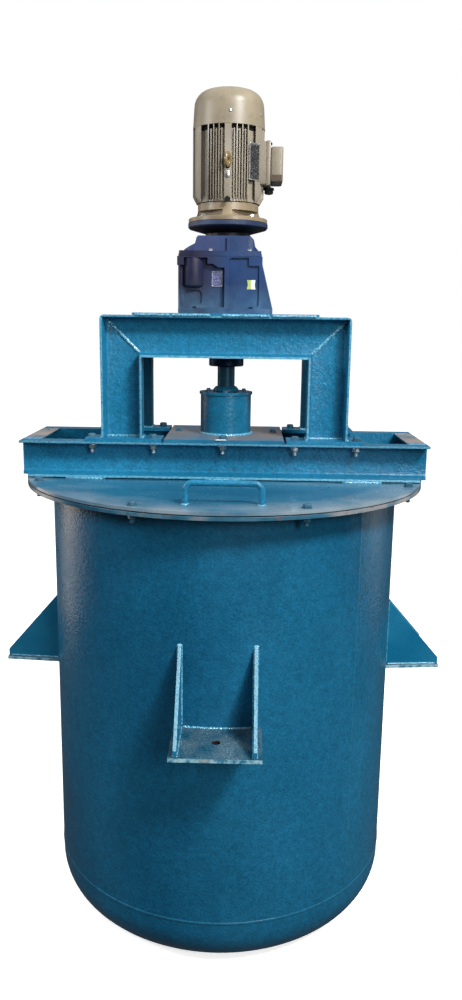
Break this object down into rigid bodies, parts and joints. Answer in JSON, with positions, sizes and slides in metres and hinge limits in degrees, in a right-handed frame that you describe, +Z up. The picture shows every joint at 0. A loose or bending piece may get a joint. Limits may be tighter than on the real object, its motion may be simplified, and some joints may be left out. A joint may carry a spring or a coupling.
{
  "type": "tank mixer",
  "caption": "Round glue mixing tank with support lugs and a bolted cover, on which a channel frame and portals carry a shaft bearing and a vertical geared motor.",
  "frame": {"origin": "centre of the tank's underside, on the shaft's axis", "axes": "+Z up along the tank and shaft axis, -Y towards the pictured front, +X towards the motor's terminal box"},
  "size_m": [1.3146, 1.31, 2.347],
  "materials": {
    "teal_paint": "glossy teal-blue enamel with orange peel",
    "navy_paint": "satin navy-blue paint on castings",
    "beige_paint": "satin beige-grey machine paint",
    "black_rubber": "matt",
    "dark_steel": "dark blue paint over machined steel"
  },
  "bodies": {
    "vessel": {"tank_bottom_plate": "teal_paint", "tank_bottom_knuckle": "teal_paint", "tank_skirt_front": "teal_paint", "tank_skirt_right": "teal_paint", "tank_skirt_rear": "teal_paint", "tank_skirt_left": "teal_paint", "tank_shell_left": "teal_paint", "tank_shell_right": "teal_paint", "tank_rim_flange": "teal_paint", "cover_gasket": "black_rubber", "cover_plate": "teal_paint", "cover_handle_front": "teal_paint", "cover_handle_rear": "teal_paint", "lug_plate_front": "teal_paint", "lug_gusset_front_a": "teal_paint", "lug_gusset_front_b": "teal_paint", "lug_plate_rear": "teal_paint", "lug_gusset_rear_a": "teal_paint", "lug_gusset_rear_b": "teal_paint", "lug_plate_left": "teal_paint", "lug_gusset_left_a": "teal_paint", "lug_gusset_left_b": "teal_paint", "lug_plate_right": "teal_paint", "lug_gusset_right_a": "teal_paint", "lug_gusset_right_b": "teal_paint", "frame_channel_front": "teal_paint", "frame_channel_rear": "teal_paint", "frame_end_left": "teal_paint", "frame_end_right": "teal_paint", "portal_front_leg_left": "teal_paint", "portal_front_leg_right": "teal_paint", "portal_front_top": "teal_paint", "portal_rear_leg_left": "teal_paint", "portal_rear_leg_right": "teal_paint", "portal_rear_top": "teal_paint", "foot_plate_front_left": "teal_paint", "foot_plate_front_right": "teal_paint", "foot_plate_rear_left": "teal_paint", "foot_plate_rear_right": "teal_paint", "bearing_base_plate": "teal_paint", "bearing_housing": "teal_paint", "bearing_cap": "teal_paint", "shaft_seal_ring": "teal_paint", "drive_mounting_plate": "teal_paint", "gearbox_housing": "navy_paint", "gearbox_cover": "navy_paint", "gearbox_cap": "navy_paint", "motor_adapter_flange": "navy_paint", "motor_end_shield": "beige_paint", "motor_frame": "beige_paint", "motor_fan_cover": "beige_paint", "terminal_box_base": "beige_paint", "terminal_box_cover": "beige_paint"},
    "shaft": {"agitator_shaft": "teal_paint", "coupling_hub": "dark_steel", "gearbox_output_shaft": "dark_steel"}
  },
  "joints": [
    {"name": "shaft_spin", "type": "hinge", "parent": "vessel", "child": "shaft", "pos_m": [0, 0, 1.5], "axis": [0, 0, 1], "continuous": true}
  ]
}
